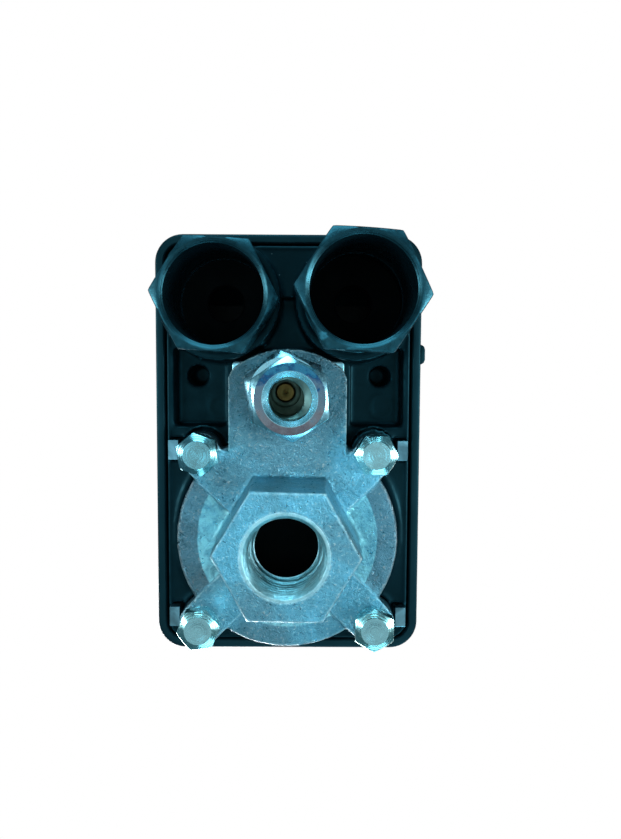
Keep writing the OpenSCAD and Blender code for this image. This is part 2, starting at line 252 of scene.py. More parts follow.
def edge(ob, width, seg=2, angle=28):
    """Bevels the edges sharper than the angle."""
    b = ob.modifiers.new("edge", "BEVEL")
    b.width, b.segments, b.limit_method = width * MM, seg, "ANGLE"
    b.angle_limit = math.radians(angle)
    b.use_clamp_overlap = True
    return settle(ob)


def finish(ob, mat, body, nodes=(), angle=40):
    """Gives an object its material, slot and replaced nodes, and its body when one is given."""
    me = ob.data
    me.materials.clear()
    for m in mat if isinstance(mat, (list, tuple)) else [mat]:
        me.materials.append(m)
    me.shade_smooth()
    if angle:
        me.set_sharp_from_angle(angle=math.radians(angle))
    if body:
        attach(ob, body)
    if nodes:
        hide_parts(*nodes)
    return ob


# ---------------------------------------------------------------- materials
class Nodes:
    def __init__(self, name):
        self.m = bpy.data.materials.new(name)
        self.m.use_nodes = True
        self.t = self.m.node_tree
        self.b = self.t.nodes["Principled BSDF"]
        self.co = self.t.nodes.new("ShaderNodeTexCoord").outputs["Object"]

    def new(self, kind, **kw):
        n = self.t.nodes.new(kind)
        for k, v in kw.items():
            if k in n.inputs.keys():
                n.inputs[k].default_value = v
            else:
                setattr(n, k, v)
        return n

    def link(self, a, b):
        self.t.links.new(a, b)

    def noise(self, scale, detail=3.0, rough=0.55, co=None, distortion=0.0):
        n = self.new("ShaderNodeTexNoise")
        n.inputs["Scale"].default_value = scale
        n.inputs["Detail"].default_value = detail
        n.inputs["Roughness"].default_value = rough
        n.inputs["Distortion"].default_value = distortion
        self.link(co or self.co, n.inputs["Vector"])
        return n.outputs["Fac"]

    def voronoi(self, scale, feature="F1", co=None):
        n = self.new("ShaderNodeTexVoronoi")
        n.feature = feature
        n.inputs["Scale"].default_value = scale
        self.link(co or self.co, n.inputs["Vector"])
        return n.outputs["Distance"]

    def ramp(self, fac, stops):
        n = self.new("ShaderNodeValToRGB")
        el = n.color_ramp.elements
        while len(el) < len(stops):
            el.new(0.5)
        for e, (p, c) in zip(el, stops):
            e.position = p
            e.color = (*c, 1) if len(c) == 3 else c
        self.link(fac, n.inputs["Fac"])
        return n.outputs["Color"]

    def span(self, fac, a, b, lo=0.3, hi=0.7):
        n = self.new("ShaderNodeMapRange")
        for k, v in (("From Min", lo), ("From Max", hi), ("To Min", a), ("To Max", b)):
            n.inputs[k].default_value = v
        self.link(fac, n.inputs["Value"])
        return n.outputs["Result"]

    def mix(self, fac, a, b, kind="MIX"):
        n = self.new("ShaderNodeMix")
        n.data_type, n.blend_type = "RGBA", kind
        if isinstance(fac, float):
            n.inputs[0].default_value = fac
        else:
            self.link(fac, n.inputs[0])
        for i, v in ((6, a), (7, b)):
            if isinstance(v, tuple):
                n.inputs[i].default_value = (*v, 1)
            else:
                self.link(v, n.inputs[i])
        return n.outputs[2]

    def bump(self, height, strength, dist, prev=None):
        n = self.new("ShaderNodeBump")
        n.inputs["Strength"].default_value = strength
        n.inputs["Distance"].default_value = dist * MM
        self.link(height, n.inputs["Height"])
        if prev is not None:
            self.link(prev, n.inputs["Normal"])
        return n.outputs["Normal"]

    def worn_and_highlit(self, lo, hi):
        """White on convex edges, broken up by noise: partly wear, partly a painted highlight along the edges.
        """
        g = self.new("ShaderNodeNewGeometry").outputs["Pointiness"]
        e = self.ramp(g, [(0.0, (0, 0, 0)), (lo, (0, 0, 0)), (hi, (1, 1, 1))])
        n = self.ramp(self.noise(650.0, 4.0, 0.65), [(0.36, (0.15, 0.15, 0.15)), (0.62, (1, 1, 1))])
        return self.mix(1.0, e, n, "MULTIPLY")

    def out(self, color=None, rough=None, normal=None, metal=0.0, **const):
        if color is not None:
            self.link(color, self.b.inputs["Base Color"])
        if rough is not None:
            if isinstance(rough, float):
                self.b.inputs["Roughness"].default_value = rough
            else:
                self.link(rough, self.b.inputs["Roughness"])
        if normal is not None:
            self.link(normal, self.b.inputs["Normal"])
        self.b.inputs["Metallic"].default_value = metal
        for k, v in const.items():
            self.b.inputs[k.replace("_", " ")].default_value = v
        return self.m


def cast_metal(name, dark, mid, light, grain=1700.0, bump=1.0, rough=(0.26, 0.40), depth=0.30, marks=None,
               zones=False):
    """Die-cast zinc: a leathery skin with bright facets, and darker, rosier patches."""
    s = Nodes(name)
    fine, broad = s.noise(grain, 4.0, 0.6, distortion=0.8), s.noise(48.0, 4.0, 0.6, distortion=0.5)
    small, mid_n = s.noise(3600.0, 2.0, 0.5), s.noise(420.0, 5.0, 0.62, distortion=0.6)
    col = s.ramp(fine, [(0.25, dark), (0.46, mid), (0.58, mid), (0.70, light)])
    col = s.mix(1.0, col, s.ramp(mid_n, [(0.36, (0.80, 0.80, 0.80)), (0.62, (1.0, 1.0, 1.0))]), "MULTIPLY")
    patch = s.span(broad, 0.0, 0.9, 0.44, 0.60)
    col = s.mix(patch, col, s.mix(1.0, col, (0.82, 0.62, 0.58), "MULTIPLY"))
    # convex edges lightened almost to white: partly wear, partly painted highlight
    col = s.mix(s.worn_and_highlit(0.507, 0.545), col, (0.92, 1.0, 1.0))
    if zones:
        sep = s.new("ShaderNodeSeparateXYZ")
        s.link(s.co, sep.inputs[0])
        k = lambda *st: [(p, (v, v, v)) for p, v in st]
        far = s.ramp(s.span(radial(s, 0, 0), 0.0, 1.0, 0.0, 0.025), k((0.0, 0), (0.75, 0), (0.762, 1)))
        low = s.ramp(s.span(sep.outputs["Z"], 0.0, 1.0, 0.0150, 0.0160), k((0.0, 0), (0.2, 0), (0.4, 1)))
        rim = s.mix(1.0, far, low, "MULTIPLY")
        foot = s.ramp(s.span(sep.outputs["Y"], 0.0, 1.0, -0.019, -0.009),
                      [(0.0, (0.88, 0.86, 0.86)), (1.0, (0.74, 0.56, 0.54))])
        col = s.mix(rim, col, s.mix(1.0, col, foot, "MULTIPLY"))
        # painted highlight: inside the rim and above Z 15 mm, a cyan-white sheen is painted in noisy spots
        bright = s.mix(1.0, low, s.mix(far, (1.0, 1.0, 1.0), (0.0, 0.0, 0.0)), "MULTIPLY")
        painted_sheen = s.mix(s.span(mid_n, 0.15, 0.95, 0.40, 0.60), col, (0.68, 1.0, 1.0))
        col = s.mix(bright, col, painted_sheen)
        # painted light and shade along Y: brightest near Y 19 mm, darker below, much darker towards +Y
        painted_falloff = s.ramp(s.span(sep.outputs["Y"], 0.0, 1.0, 0.0, 0.042),
                      k((0.0, 0.80), (0.30, 0.90), (0.46, 1.0), (0.62, 0.62), (1.0, 0.50)))
        col = s.mix(1.0, col, painted_falloff, "MULTIPLY")
    nrm = s.bump(fine, bump, depth * 1.25)
    nrm = s.bump(small, 0.8, 0.10, nrm)
    nrm = s.bump(mid_n, 0.9, 0.30, nrm)
    if marks is not None:
        nrm = s.bump(marks(s), 0.5, 0.05, nrm)
    return s.out(col, s.span(s.noise(grain * 0.5, 3.0), rough[0], rough[1]), nrm, 1.0)


def plated(name, base, alt, rough=(0.16, 0.32), grain=700.0, bump=0.08):
    s = Nodes(name)
    n1, n2 = s.noise(grain, 3.0), s.noise(160.0, 3.0, 0.6, distortion=0.6)
    col = s.mix(s.span(n2, 0.0, 1.0, 0.42, 0.62), base, alt)
    return s.out(col, s.span(n1, rough[0], rough[1]), s.bump(n1, bump, 0.05), 1.0)


def plastic(name, base, alt, rough=(0.34, 0.5), grain=1600.0, bump=0.12, dust=0.0, spec=0.5,
            painted_sheen=(1.0, 1.0, 1.0), wear_and_highlight=None):
    s = Nodes(name)
    n1, n2 = s.noise(grain, 3.0), s.noise(90.0, 4.0, 0.6)
    col = s.mix(s.span(n2, 0.0, 1.0, 0.4, 0.66), base, alt)
    if dust:
        v = s.voronoi(420.0)
        spots = s.ramp(v, [(0.0, (1, 1, 1)), (0.035, (1, 1, 1)), (0.07, (0, 0, 0))])
        few = s.ramp(s.noise(60.0, 2.0), [(0.55, (0, 0, 0)), (0.62, (1, 1, 1))])
        col = s.mix(s.mix(1.0, spots, few, "MULTIPLY"), col, (dust, dust * 1.15, dust * 1.15))
    # convex edges lightened to teal: partly wear, partly painted highlight
    if wear_and_highlight:
        col = s.mix(s.worn_and_highlit(*wear_and_highlight), col, (0.045, 0.16, 0.20))
    nrm = s.bump(n1, bump, 0.04)
    # the specular tint is a painted sheen: the teal of the light painted into the reflections
    return s.out(col, s.span(s.noise(300.0, 4.0, 0.6), rough[0], rough[1]), nrm, 0.0, Specular_IOR_Level=spec,
                 Specular_Tint=(*painted_sheen, 1))


def radial(s, cx, cy, fold=False):
    """Distance from an axis along Z, in metres; with fold from the nearest of the four bolts."""
    sep = s.new("ShaderNodeSeparateXYZ")
    s.link(s.co, sep.inputs[0])
    parts = []
    for out, c in ((sep.outputs["X"], cx), (sep.outputs["Y"], cy)):
        if fold:
            a = s.new("ShaderNodeMath", operation="ABSOLUTE")
            s.link(out, a.inputs[0])
            out = a.outputs[0]
        d = s.new("ShaderNodeMath", operation="SUBTRACT")
        s.link(out, d.inputs[0])
        d.inputs[1].default_value = c * MM
        parts.append(d.outputs[0])
    v = s.new("ShaderNodeCombineXYZ")
    s.link(parts[0], v.inputs[0])
    s.link(parts[1], v.inputs[1])
    ln = s.new("ShaderNodeVectorMath", operation="LENGTH")
    s.link(v.outputs[0], ln.inputs[0])
    return ln.outputs["Value"]


def rings(s, r, pitch):
    """Turned marks: noise that depends on the radius alone."""
    n = s.new("ShaderNodeTexNoise")
    n.noise_dimensions = "1D"
    n.inputs["Scale"].default_value = 1000.0 / pitch
    n.inputs["Detail"].default_value = 2.0
    s.link(r, n.inputs["W"])
    return n.outputs["Fac"]


CAST = cast_metal("die_cast", (0.13, 0.36, 0.46), (0.31, 0.66, 0.80), (0.86, 1.0, 1.0), zones=True,
                  marks=lambda s: rings(s, radial(s, 0, 0), 0.6))
FACE = cast_metal("die_cast_machined", (0.36, 0.60, 0.64), (0.52, 0.80, 0.84), (0.70, 0.95, 0.95),
                  grain=1500.0, bump=0.3, rough=(0.34, 0.46), depth=0.04)
ZINC = plated("zinc_plated", (0.55, 0.82, 0.84), (0.66, 0.80, 0.74))


def bolt_metal():
    s = Nodes("bolt_plated")
    r = radial(s, B, B, fold=True)
    face = s.ramp(s.span(r, 0.0, 1.0, 0.0, 0.006), [(0.0, (1, 1, 1)), (0.465, (1, 1, 1)), (0.475, (0, 0, 0))])
    n1, n2 = s.noise(1400.0, 3.0), s.noise(70.0, 3.0)
    col = s.mix(s.span(n2, 0.0, 1.0, 0.4, 0.62), (0.56, 0.86, 0.90), (0.62, 0.84, 0.78))
    col = s.mix(face, col, s.mix(n1, (0.34, 0.52, 0.55), (0.52, 0.74, 0.74)))
    sep = s.new("ShaderNodeSeparateXYZ")
    s.link(s.co, sep.inputs[0])
    # the bolt on the +X, +Y side is darker than the others
    dull = s.mix(1.0, s.span(sep.outputs["X"], 0.0, 1.0, 0.0, 0.004),
                 s.span(sep.outputs["Y"], 0.0, 1.0, 0.0, 0.004), "MULTIPLY")
    col = s.mix(dull, col, s.mix(1.0, col, (0.62, 0.70, 0.72), "MULTIPLY"))
    nrm = s.bump(rings(s, r, 0.25), 0.8, 0.05)
    nrm = s.bump(n1, 0.5, 0.04, nrm)
    return s.out(col, s.span(n1, 0.16, 0.30), nrm, 1.0)


BRIGHT = plated("bright_sheet", (0.72, 0.96, 1.0), (0.60, 0.86, 0.92), rough=(0.22, 0.36), bump=0.4)
STEEL = plated("frame_sheet", (0.14, 0.22, 0.25), (0.32, 0.50, 0.56), rough=(0.25, 0.42), grain=420.0,
               bump=0.9)
WIRE = plated("spring_wire", (0.42, 0.46, 0.48), (0.30, 0.33, 0.35), rough=(0.25, 0.4))
BRASS = plated("turned_brass", (0.50, 0.36, 0.14), (0.60, 0.44, 0.20), rough=(0.22, 0.4))
PIN = plated("dull_brass", (0.19, 0.10, 0.030), (0.11, 0.055, 0.016), rough=(0.4, 0.55))
# TUBE and SEAT are darker metals for the outlet fitting's deep bore and its seat: painted shade of the bore
TUBE = plated("tube_metal", (0.30, 0.36, 0.31), (0.19, 0.24, 0.21), rough=(0.36, 0.5), bump=0.3)
SEAT = plated("seat_metal", (0.13, 0.145, 0.11), (0.07, 0.085, 0.06), rough=(0.5, 0.65))
# TEAL tints the black plastics' reflections: a painted sheen in the light's colour
TEAL = (0.30, 0.85, 1.0)
BASE = plastic("base_black", (0.0018, 0.0075, 0.010), (0.004, 0.014, 0.018), dust=0.14, bump=0.7, spec=0.20,
               rough=(0.28, 0.46), painted_sheen=TEAL, wear_and_highlight=(0.53, 0.62))
COVER = plastic("cover_black", (0.0025, 0.009, 0.0115), (0.005, 0.015, 0.018), dust=0.06, bump=0.3, spec=0.34,
                painted_sheen=TEAL)
GLAND = plastic("gland_black", (0.0018, 0.0075, 0.010), (0.004, 0.014, 0.018), rough=(0.22, 0.36), bump=0.6,
                dust=0.14, spec=0.7, painted_sheen=TEAL, wear_and_highlight=(0.52, 0.60))
RUBBER = plastic("seal_rubber", (0.0012, 0.0016, 0.0018), (0.002, 0.0026, 0.0028), rough=(0.7, 0.85),
                 spec=0.12)
RESIN = plastic("block_resin", (0.006, 0.005, 0.004), (0.010, 0.008, 0.006), rough=(0.5, 0.65), bump=0.3,
                spec=0.2)
CREAM = plastic("cream_plastic", (0.62, 0.58, 0.47), (0.55, 0.50, 0.40), rough=(0.35, 0.5))
RED = plastic("red_plastic", (0.45, 0.012, 0.010), (0.36, 0.010, 0.010), rough=(0.22, 0.34))


def outlet_metal():
    """Bright plating; its flat ring is tinted from heat blue at the top to rose at the foot."""
    s = Nodes("outlet_plated")
    sep = s.new("ShaderNodeSeparateXYZ")
    s.link(s.co, sep.inputs[0])
    y = s.span(sep.outputs["Y"], 0.0, 1.0, 0.0227, 0.0370)
    wob = s.noise(420.0, 4.0, 0.65)
    add = s.new("ShaderNodeMath", operation="ADD")
    s.link(y, add.inputs[0])
    s.link(s.span(wob, -0.22, 0.22), add.inputs[1])
    tint = s.ramp(add.outputs[0], [(0.0, (0.24, 0.17, 0.19)), (0.22, (0.34, 0.27, 0.29)),
                                   (0.42, (0.25, 0.28, 0.33)), (0.66, (0.20, 0.26, 0.34)),
                                   (0.80, (0.02, 0.10, 0.24)), (0.92, (0.07, 0.26, 0.40))])
    inside = s.ramp(s.span(radial(s, -0.7, 29.85), 0.0, 1.0, 0.0, 0.01),
                    [(0.0, (0, 0, 0)), (0.54, (0, 0, 0)), (0.56, (1, 1, 1)), (0.705, (1, 1, 1)),
                     (0.712, (0, 0, 0))])
    return s.out(s.mix(inside, (0.60, 0.90, 0.98), tint), s.span(s.noise(900.0, 3.0), 0.18, 0.30),
                 s.bump(wob, 0.10, 0.05), 1.0)


OUTLET = outlet_metal()
NUT = plated("nut_plated", (0.52, 0.78, 0.86), (0.36, 0.56, 0.66), rough=(0.18, 0.34))

# ---------------------------------------------------------------- port flange
BOLT = bolt_metal()
ARM_Z, DISC_Z, PLATE_Z, BASE_Z = 15.0, 15.5, 19.5, 21.5
UY = 30.0


def hex_ring(af, z):
    return [(x, y, z) for x, y in circle(af / math.sqrt(3), 6)]


def arm_outline():
    pts, w, cy, R, rc = [], 12.3, 22.2, 17.7, 1.6
    a1 = math.acos((w - 0.9) / R)
    for i in range(25):
        a = a1 + (math.pi - 2 * a1) * i / 24
        pts.append((R * math.cos(a), cy + R * math.sin(a)))
    yc = cy + math.sqrt(R * R - w * w)
    left = [(-w, yc - 0.9), (-w, 6.0)]
    return [(w, 6.0), (w, yc - 0.9)] + pts + left


dish = polar([(11.5, 17.4), (18.8, 15.54), (18.95, DISC_Z), (23.0, DISC_Z), (23.3, DISC_Z + 0.3),
              (23.3, BASE_Z), (4.0, BASE_Z), (4.0, 17.4)], ring=True)
hexa = loft([hex_ring(24.9, 0.0), hex_ring(25.2, 0.15), hex_ring(25.9, 13.5), hex_ring(26.5, 15.3),
             hex_ring(27.0, 17.6)])
shells = [dish, cyl(11.9, 16.9, BASE_Z), turn(shift(hexa, -0.2), 1.0)]
for a, lo, hi in ((45, -4.75, 3.7), (135, -3.7, 4.75), (225, -4.75, 4.6), (315, -4.6, 4.75)):
    shells.append(turn(block(8, B * math.sqrt(2), lo, hi, ARM_Z, 18.4), a))
for sx in (-1, 1):
    for sy in (-1, 1):
        shells.append(cyl(4.15 if sy > 0 else 4.6, ARM_Z - 0.2, BASE_Z, sx * B, sy * B))
shells.append(prism(arm_outline(), ARM_Z, PLATE_Z))
cast = raw("flange_casting", together(*shells))
holes = [cyl(8.6, -1, 10.2), cyl(9.2, 9.8, 25), cyl(13, 18.5, 25), cyl(22.5, 20.5, 25),
         cyl(5.2, 14, 25, 0, UY)]
holes += [cyl(2.8, 13, 25, sx * B, sy * B, 48) for sx in (-1, 1) for sy in (-1, 1)]
soften(cast, 0.3, 0)
for h in holes:
    cut(cast, h)
soften(cast, 0.3, 4, 0.5)
finish(cast, CAST, "housing", ["port_flange"], 0)

# machined port: countersink, thread and the step behind it
cone = lambda z: 8.15 - 0.8 * z
taper = [(np.minimum(r, 7.95 - 0.04 * z) if z < 7.0 else r - (z - 7.0) * 0.30, z)
         for r, z in thread_rows(7.42, 0.36, 1.337, 0.02, 9.2, 12)]
rows = [(8.8, 0.2), (8.72, 0.02), (8.62, 0.0), (8.2, 0.0)]
rows += [(np.maximum(r, cone(z)), z) for r, z in taper]
rows += [(6.47, 9.4), (6.6, 9.6), (8.8, 9.8)]
port = raw("port_thread", polar(rows))
finish(port, FACE, "housing", angle=50)


# ---------------------------------------------------------------- flange bolts
def bolt(cx, cy, rot):
    h = hexr(TH, 8.0, 0.25)
    z0, z1 = 10.5, 14.05
    rows = [(0.5, z0 + 0.05), (1.3, z0 + 0.05), (1.8, z0 + 0.01), (2.0, z0), (2.84, z0), (2.92, z0 + 0.04),
            (h - 0.06, z0 + 0.04 + (h - 2.98) * 0.58), (h, z0 + 0.1 + (h - 2.92) * 0.58),
            (h, z1 - 0.15), (h - 0.12, z1), (3.9, z1 + 0.02), (3.98, z1 + 0.08), (4.05, z1 + 0.2),
            (4.05, z1 + 0.5), (3.95, z1 + 0.65), (2.48, z1 + 0.66)]
    rows += thread_rows(2.48, -0.35, 0.8, 14.9, 29.0, 6)
    rows += [(2.0, 29.5)]
    return polar(rows, 144, cx, cy, rot, ring=False)


bolts = raw("flange_screws", together(bolt(B, B, 20), bolt(-B, B, 2), bolt(B, -B, -8), bolt(-B, -B, 30)))
finish(bolts, BOLT, "housing", ["flange_bolts"], 22)

# ---------------------------------------------------------------- plate behind the arm
vp = raw("valve_plate_sheet", prism(rrect(23.8, 13.3, 0.8, 0, 30.65, 5), PLATE_Z, BASE_Z))
cut(vp, cyl(5.1, 18, 23, 0, UY))
edge(vp, 0.22)
finish(vp, BRIGHT, "housing", ["valve_plate"])

# ---------------------------------------------------------------- unloader
h15, h16 = hexr(TH, 15.0, 0.35), hexr(TH, 16.0, 0.35)
oz = 6.0
HX, HY0, PX, PY = -0.7, -0.15, 0.45, 0.85
rows = [(4.72, oz + 0.72, HX, HY0), (5.42, oz + 0.02, HX, HY0), (5.6, oz, HX, HY0), (7.05, oz, HX, HY0),
        (7.14, oz + 0.04, HX, HY0), (h15 - 0.1, oz + 0.05 + (h15 - 7.24) * 0.55, HX, HY0),
        (h15, oz + 0.15 + (h15 - 7.14) * 0.55, HX, HY0), (h15, 10.6, HX, HY0), (h15 - 0.2, 10.85, HX, HY0),
        (6.2, 10.9, HX, HY0), (5.0, 10.92), (5.0, 28.3), (4.8, 28.5), (2.0, 28.5, PX, PY),
        (2.0, 26.0, PX, PY),
        (3.22, 25.9, PX, PY), (3.22, 16.5, PX, PY), (3.4, 16.45, PX * 0.7, PY * 0.5), (3.62, 16.4, 0.1, -0.3),
        (3.58, 14.0, 0.1, -0.3), (3.58, 13.7, 0.1, -0.3), (3.66, 13.6, 0.1, -0.3), (3.66, 11.4, 0.1, -0.3),
        (3.9, 11.1, -0.25, -0.25)]
back = thread_rows(4.29, 0.30, 0.907, oz + 0.8, 10.9, 9)
rows += [(np.maximum(r, 5.44 - (z - oz)), z, HX, HY0) for r, z in reversed(back)]
fit = raw("outlet_fitting", polar(rows, 144, 0, UY, 26))
finish(fit, [OUTLET, TUBE, SEAT], "housing", ["unloader_fitting"], 22)
# faces deeper than Z 9 mm and 15 mm in the bore take TUBE and SEAT: painted shade deepening into the bore
for p in fit.data.polygons:
    c = p.center / MM
    p.material_index = int(c.z > 9.0 and math.hypot(c.x, c.y - UY) < 4.7) + int(
        c.z > 15.0 and math.hypot(c.x, c.y - UY) < 4.4)

rows = [(5.05, 11.0), (7.6, 10.98), (h16 - 0.15, 11.02 + (h16 - 7.7) * 0.5), (h16, 11.12 + (h16 - 7.6) * 0.5),
        (h16, 14.6), (h16 - 0.25, 15.0), (5.05, 15.0)]
rows = [(r, z) if i in (0, len(rows) - 1) else (r, z, 0.2, 0.55) for i, (r, z) in enumerate(rows)]
nut = raw("lock_nut", polar(rows, 144, 0, UY, 20))
finish(nut, NUT, "housing", ["unloader_lock_nut"], 22)

rows = [(2.05, 16.65), (2.2, 16.52), (3.05, 16.5), (3.2, 16.6), (3.2, 18.0), (2.05, 18.0)]
seat = raw("seat_ring", polar(rows, 96, PX, UY + PY))
finish(seat, SEAT, "housing", ["unloader_seat"])

pin = raw("valve_pin_turned", polar(
    [(0.28, 16.5), (0.3, 15.9), (0.42, 15.8), (1.72, 15.8), (1.86, 15.95), (1.88, 16.4), (1.95, 16.5),
     (1.95, 21.2), (2.7, 21.22), (2.8, 21.35), (2.8, 22.1), (2.65, 22.2), (1.95, 22.25),
     (1.95, 30.8), (1.6, 31.6), (1.2, 32.1), (0.7, 32.38),
     (0.2, 32.47)], 72, PX, UY + PY, ring=False))
finish(pin, PIN, "valve_pin", ["unloader_pin"])

# ---------------------------------------------------------------- gland nuts
GLAND_X, GLAND_Y = 14.2, 50.1
h22 = hexr(TH, 22.0, 0.45)


def gland(z0, cx, rot):
    a = 9.75
    rows = [(a, z0 + 2.2), (a + 0.01, z0 + 0.95), (a + 0.06, z0 + 0.66), (a + 0.32, z0 + 0.50),
            (a + 0.36, z0 + 0.30), (a + 0.78, z0 + 0.04), (10.64, z0), (10.85, z0 + 0.02),
            (h22 - 0.16, z0 + 0.03 + (h22 - 10.96) * 0.42), (h22, z0 + 0.2 + (h22 - 10.8) * 0.42),
            (h22, z0 + 8.7), (h22 - 0.25, z0 + 9.0), (11.05, z0 + 9.0), (10.2, z0 + 9.02), (10.15, z0 + 9.5)]
    rows += thread_rows(10.15, 0.85, 1.5, z0 + 9.5, z0 + 22.2, 9)
    rows += [(10.6, z0 + 22.5), (a, z0 + 22.5)]
    rows += [(a, z0 + 22.5 - 20.3 * i / 8) for i in range(1, 8)]
    return polar(rows, 144, cx, GLAND_Y, rot)


gl = raw("gland_nut_l", gland(5.7, GLAND_X, 3.2))
finish(gl, GLAND, "nut_left", ["gland_nut_left"], 24)
gr = raw("gland_nut_r", gland(-4.0, -GLAND_X, 3.6))
finish(gr, GLAND, "nut_right", ["gland_nut_right"], 24)
for s, n in ((1, "left"), (-1, "right")):
    rows = [(4.0, 28.7), (4.3, 28.4), (10.6, 28.4), (10.95, 28.7), (10.95, 30.9), (10.6, 31.2), (4.3, 31.2),
            (4.0, 30.9)]
    seal = raw("seal_" + n, polar(rows, 96, s * GLAND_X, GLAND_Y))
    finish(seal, RUBBER, "housing", ["gland_seal_" + n])

# ---------------------------------------------------------------- base
BW, BL, HY = 52.4, 85.4, 19.2


def slot_ring(cx, cy, w, l, r, t, z0, z1):
    a = rrect(w, l, r, cx, cy, 8)
    b = rrect(w - 2 * t, l - 2 * t, r - t, cx, cy, 8)
    rings = [[(x, y, z0) for x, y in a], [(x, y, z1) for x, y in a], [(x, y, z1) for x, y in b],
             [(x, y, z0) for x, y in b]]
    return loft(rings, closed=True)


plate = prism(rrect(BW, BL, 4, 0, HY), BASE_Z, 25.0)
shells = [plate]
for s in (-1, 1):
    x0, x1 = sorted((s * 12.1, s * 26.0))
    shells.append(block(x0, x1, 21.9, 41.5, 24.0, 28.3))
    shells.append(cyl(3.4, 27.0, 37.0, s * 20.2, 34.1, 40))
base = raw("base_moulding", together(*shells))
cutters = []
for s in (-1, 1):
    x0, x1 = sorted((s * 13.4, s * 24.6))
    cutters.append(block(x0, x1, 23.2, 40.2, 20, 26.5))
    cutters.append(cyl(2.3, 20, 36, s * 20.2, 34.1, 40))
    cutters.append(cyl(1.6, 20, 30, s * 8.4, 34.0, 24))
cutters.append(block(-7.5, 7.5, 39.4, 50.8, 20, 23.6))
for c in cutters:
    cut(base, c, self_=True)
extra = []
for s in (-1, 1):
    extra.append(cyl(12.7, 15.0, 21.0, s * GLAND_X, GLAND_Y))
    extra.append(cyl(12.35, 20.5, 34.0, s * GLAND_X, 49.45))
    # round mould marks on the pocket floors
    mark = [(2.35, 26.3), (2.62, 26.3), (2.62, 26.8), (2.35, 26.8)]
    extra.append(polar(mark, 60, s * 20.5 if s < 0 else 15.1, 27.35))
    for t in (-1, 1):
        extra.append(polar([(4.9, 21.05), (5.3, 21.05), (5.3, 22.0), (4.9, 22.0)], 60, s * B, t * B))
extra.append(polar([(24.0, 20.9), (24.7, 20.9), (24.7, 22.0), (24.0, 22.0)], 160, 0, 0))
extra.append(slot_ring(0, HY, BW - 0.1, BL - 0.1, 3.9, 0.55, 21.1, 22.0))
bm = bmesh.new()
bm.from_mesh(base.data)
src = bpy.data.meshes.new("src")
src.from_pydata([(x * MM, y * MM, z * MM) for x, y, z in together(*extra)[0]], [], together(*extra)[1])
bm.from_mesh(src)
bmesh.ops.recalc_face_normals(bm, faces=bm.faces)
bm.to_mesh(base.data)
bm.free()
soften(base, 0.36, 0)
cutters = [cyl(9, 18, 30), cyl(5.15, 18, 30, 0, UY, 48)]
# nothing of the base stands inside the flange's outline
cutters += [cyl(23.75, 19, 21.45, 0, 0), prism([(x * 1.01, y + 0.05) for x, y in arm_outline()], 14, 21.45)]
for s in (-1, 1):
    cutters.append(cyl(11.05, 14, 31.2, s * GLAND_X, GLAND_Y))
    cutters.append(cyl(8.0, 14, 36, s * GLAND_X, GLAND_Y))
    for t in (-1, 1):
        cutters.append(cyl(2.75, 18, 30, s * B, t * B, 40))
        cutters.append(cyl(4.85, 18, 22.8, s * B, t * B, 48))
        cutters.append(block(*sorted((s * B, s * 25.0)), t * B - 2.6, t * B + 2.6, 18, 22.8))
        x0, x1 = sorted((s * 23.35, s * 25.85))
        cutters.append(block(x0, x1, t * B - 2.3, t * B + 2.3, 18, 30))
for c in cutters:
    cut(base, c)
soften(base, 0.36, 3, 0.5)
finish(base, BASE, "housing", ["base"], 0)

# ---------------------------------------------------------------- cover
W, L, RIM, TOP = 57.0, 90.0, 21.2, 80.0
KNOB_Y, SCREW_Y = 42, 14


def rr3(inset, z, r=6.0):
    return [(x, y, z) for x, y in rrect(W - 2 * inset, L - 2 * inset, max(r - inset, 0.6), 0, HY, 12)]


# outside sections from the rim's inner edge up to the raised lid, then the inside ones
outer = [rr3(1.85, RIM + 0.25), rr3(1.6, RIM), rr3(0.45, RIM), rr3(0.12, RIM + 0.12), rr3(0.0, RIM + 0.45)]
outer += [rr3(0.0, RIM + 0.45 + (TOP - 2.1 - RIM) * i / 6) for i in range(1, 7)]
for i in range(1, 7):
    a = math.radians(15 * i)
    outer.append(rr3(1.5 * (1 - math.cos(a)), TOP - 1.65 + 1.6 * math.sin(a)))
outer += [rr3(1.55, TOP + 0.0), rr3(1.6, TOP + 0.75), rr3(1.85, TOP + 1.0), rr3(3.0, TOP + 1.0)]
inner = [rr3(1.9, RIM + 0.35 + (78.0 - RIM - 0.35) * i / 6) for i in range(0, 7)] + [rr3(3.4, 78.0)]
nr = len(outer[0])
V, F = loft(outer, cap=False)
V2, F2 = loft(inner, cap=False)
o = len(V)
V += V2
F += [tuple(i + o for i in q) for q in F2]
F += [(i, (i + 1) % nr, o + (i + 1) % nr, o + i) for i in range(nr)]
F.append(tuple(range((len(outer) - 1) * nr, len(outer) * nr)))
F.append(tuple(o + (len(inner) - 1) * nr + i for i in range(nr)))
cover = raw("cover_shell", (V, F))
cut(cover, cyl(5.4, 66.2, 79.0, 0, SCREW_Y, 64), op="UNION")
cut(cover, cyl(4.0, 68.2, 90, 0, SCREW_Y, 64))
cut(cover, cyl(2.2, 60, 90, 0, SCREW_Y, 48))
cut(cover, cyl(4.1, 70, 90, 0, KNOB_Y, 64))
bumpy = raw("cover_tab", prism([(-28.4, 36.7), (-29.15, 37.1), (-29.4, 37.8), (-29.4, 40.0), (-29.15, 40.7),
                                (-28.4, 41.1)], RIM + 0.1, 30.2))
edge(bumpy, 0.2)
edge(cover, 0.18, 2, 40)
finish(cover, COVER, "cover", ["cover"], 35)
finish(bumpy, COVER, "cover", angle=35)

